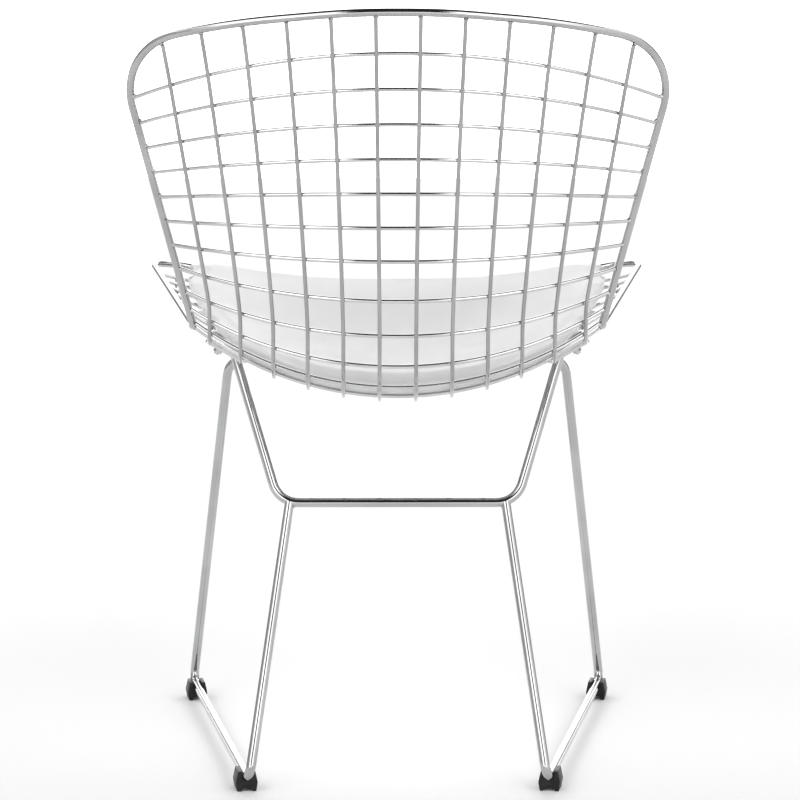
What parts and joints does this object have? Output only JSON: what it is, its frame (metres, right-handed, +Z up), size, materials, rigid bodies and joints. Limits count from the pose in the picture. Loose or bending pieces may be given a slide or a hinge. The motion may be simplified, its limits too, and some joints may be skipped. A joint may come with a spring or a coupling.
{
  "type": "wire mesh chair",
  "caption": "Side chair with a bucket shell of welded chromed wire mesh, a bent rod sled base with plastic glides, and an upholstered seat pad.",
  "frame": {"origin": "on the floor, under the middle of the whole chair's box", "axes": "+Z up, -Y towards the front of the seat, +X to the sitter's left"},
  "size_m": [0.5498, 0.5584, 0.7769],
  "materials": {
    "shell_chrome": "bright chromed steel wire, polished, with small resistance welds",
    "base_chrome": "bright chromed steel rod, polished",
    "plate_chrome": "chromed steel plate",
    "fastener_steel": "zinc-plated steel screws and nuts",
    "glide_plastic": "black nylon, slightly shiny",
    "pad_vinyl": "smooth white vinyl with a low sheen",
    "pad_foam": "open-cell upholstery foam"
  },
  "bodies": {
    "root": {"shell_rim": "shell_chrome", "long_wire_left_1": "shell_chrome", "long_wire_left_2": "shell_chrome", "long_wire_left_3": "shell_chrome", "long_wire_left_4": "shell_chrome", "long_wire_left_5": "shell_chrome", "long_wire_left_6": "shell_chrome", "long_wire_right_1": "shell_chrome", "long_wire_right_2": "shell_chrome", "long_wire_right_3": "shell_chrome", "long_wire_right_4": "shell_chrome", "long_wire_right_5": "shell_chrome", "long_wire_right_6": "shell_chrome", "seat_side_wire_left": "shell_chrome", "seat_side_wire_right": "shell_chrome", "back_cross_wire_01": "shell_chrome", "back_cross_wire_02": "shell_chrome", "back_cross_wire_03": "shell_chrome", "back_cross_wire_04": "shell_chrome", "back_cross_wire_05": "shell_chrome", "back_cross_wire_06": "shell_chrome", "back_cross_wire_07": "shell_chrome", "back_cross_wire_08": "shell_chrome", "back_cross_wire_09": "shell_chrome", "back_cross_wire_10": "shell_chrome", "back_cross_wire_11": "shell_chrome", "back_cross_wire_12": "shell_chrome", "seat_cross_wire_01": "shell_chrome", "seat_cross_wire_02": "shell_chrome", "seat_cross_wire_03": "shell_chrome", "seat_cross_wire_04": "shell_chrome", "seat_cross_wire_05": "shell_chrome", "seat_cross_wire_06": "shell_chrome", "seat_cross_wire_07": "shell_chrome", "seat_cross_wire_08": "shell_chrome", "base_rod_left": "base_chrome", "base_rod_right": "base_chrome", "brace_rod": "base_chrome", "rear_mount_plate_left": "plate_chrome", "rear_mount_plate_right": "plate_chrome", "rear_clamp_plate_left": "plate_chrome", "rear_clamp_plate_right": "plate_chrome", "front_mount_plate_left": "plate_chrome", "front_mount_plate_right": "plate_chrome", "front_clamp_plate_left": "plate_chrome", "front_clamp_plate_right": "plate_chrome", "clamp_screws": "fastener_steel", "clamp_nuts": "fastener_steel", "front_glide_left": "glide_plastic", "front_glide_right": "glide_plastic", "rear_glide_left": "glide_plastic", "rear_glide_right": "glide_plastic", "pad_cover": "pad_vinyl", "pad_foam": "pad_foam"}
  },
  "joints": []
}
